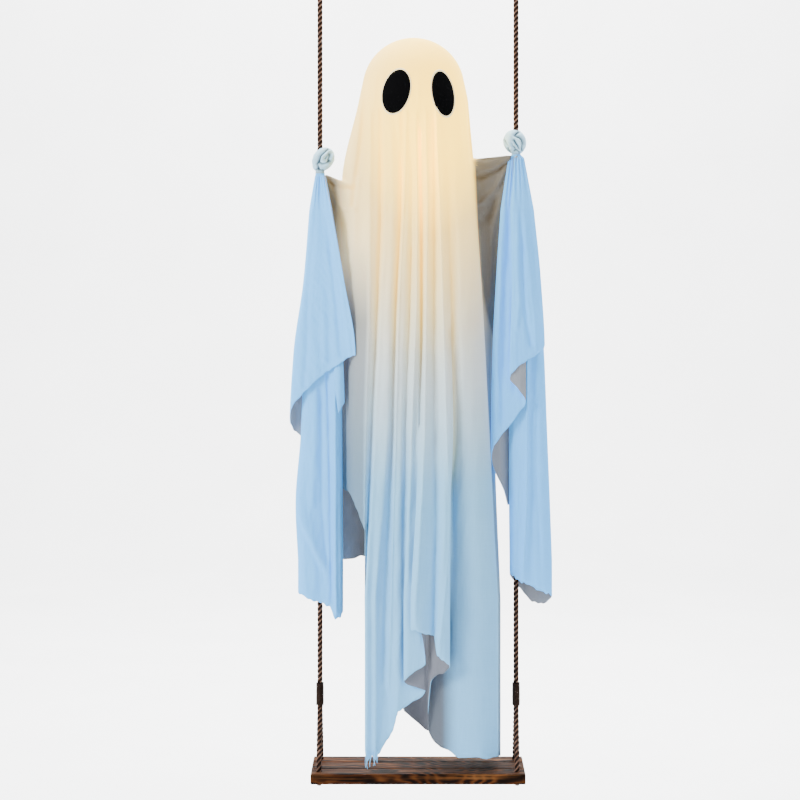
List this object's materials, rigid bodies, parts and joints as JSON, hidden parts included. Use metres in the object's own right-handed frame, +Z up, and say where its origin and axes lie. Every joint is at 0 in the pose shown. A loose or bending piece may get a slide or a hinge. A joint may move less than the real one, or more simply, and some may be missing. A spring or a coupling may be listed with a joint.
{
  "type": "swinging ghost decoration",
  "caption": "Lit cloth ghost with oval eyes on a scorched plank swing, hung by two laid ropes from screw hooks.",
  "frame": {"origin": "midway between the two screw hooks, in the beam's underside, where their collars' top faces bear", "axes": "+Z up, +X to the right as the picture shows it, and the ghost faces -Y"},
  "size_m": [0.432, 0.1825, 1.5039],
  "materials": {
    "white_cloth": "plain weave, white with a pale blue cast",
    "black_felt": "matte felt",
    "brown_rope": "three-strand laid rope",
    "dark_twine": "tightly wound twine",
    "burnt_pine": "scorched and brushed pine",
    "zinc_steel": "bright zinc plate",
    "white_plastic": "matte",
    "milky_globe": "milky translucent",
    "warm_dome": "warm lit diffuser",
    "black_plastic": "matte",
    "cell_sleeve": "printed sleeve, left plain"
  },
  "bodies": {
    "hangers": {"hook_left": "zinc_steel", "hook_right": "zinc_steel"},
    "swing": {"rope_left": "brown_rope", "rope_right": "brown_rope", "eye_seizing_left": "dark_twine", "eye_seizing_right": "dark_twine", "shoulder_bar": "black_plastic", "bar_clip_left": "black_plastic", "bar_clip_right": "black_plastic", "neck_tee": "black_plastic", "neck_tube": "white_plastic", "head_form": "milky_globe", "lamp_base": "black_plastic", "lamp_disc": "warm_dome", "lamp_dome": "warm_dome", "battery_box": "black_plastic", "battery_cell_1": "cell_sleeve", "battery_cell_2": "cell_sleeve", "battery_cell_3": "cell_sleeve", "contact_spring_1": "zinc_steel", "contact_spring_2": "zinc_steel", "contact_spring_3": "zinc_steel", "hinge_pin": "zinc_steel", "ghost_sheet": "white_cloth", "sleeve_left": "white_cloth", "sleeve_right": "white_cloth", "lap_left": "white_cloth", "lap_right": "white_cloth", "knot_left": "white_cloth", "knot_right": "white_cloth", "eye_patch_left": "black_felt", "eye_patch_right": "black_felt"},
    "seat": {"seat_board": "burnt_pine", "seat_rope_left": "brown_rope", "seat_rope_right": "brown_rope", "seizing_left": "dark_twine", "seizing_right": "dark_twine"},
    "door": {"battery_door": "black_plastic", "door_screw": "zinc_steel"},
    "slider": {"switch_slider": "white_plastic"}
  },
  "joints": [
    {"name": "swing", "type": "hinge", "parent": "hangers", "child": "swing", "pos_m": [0, 0, -0.044], "axis": [1, 0, 0], "range_deg": [-30, 30]},
    {"name": "seat_tilt", "type": "hinge", "parent": "swing", "child": "seat", "pos_m": [0, 0, -1.3066], "axis": [1, 0, 0], "range_deg": [-8, 8]},
    {"name": "door_hinge", "type": "hinge", "parent": "swing", "child": "door", "pos_m": [-0.02784, 0.0119, -0.55], "axis": [0, 0, 1], "range_deg": [0, 100]},
    {"name": "power_switch", "type": "slide", "parent": "swing", "child": "slider", "axis": [0, 0, 1], "range_m": [0, 0.003]}
  ]
}
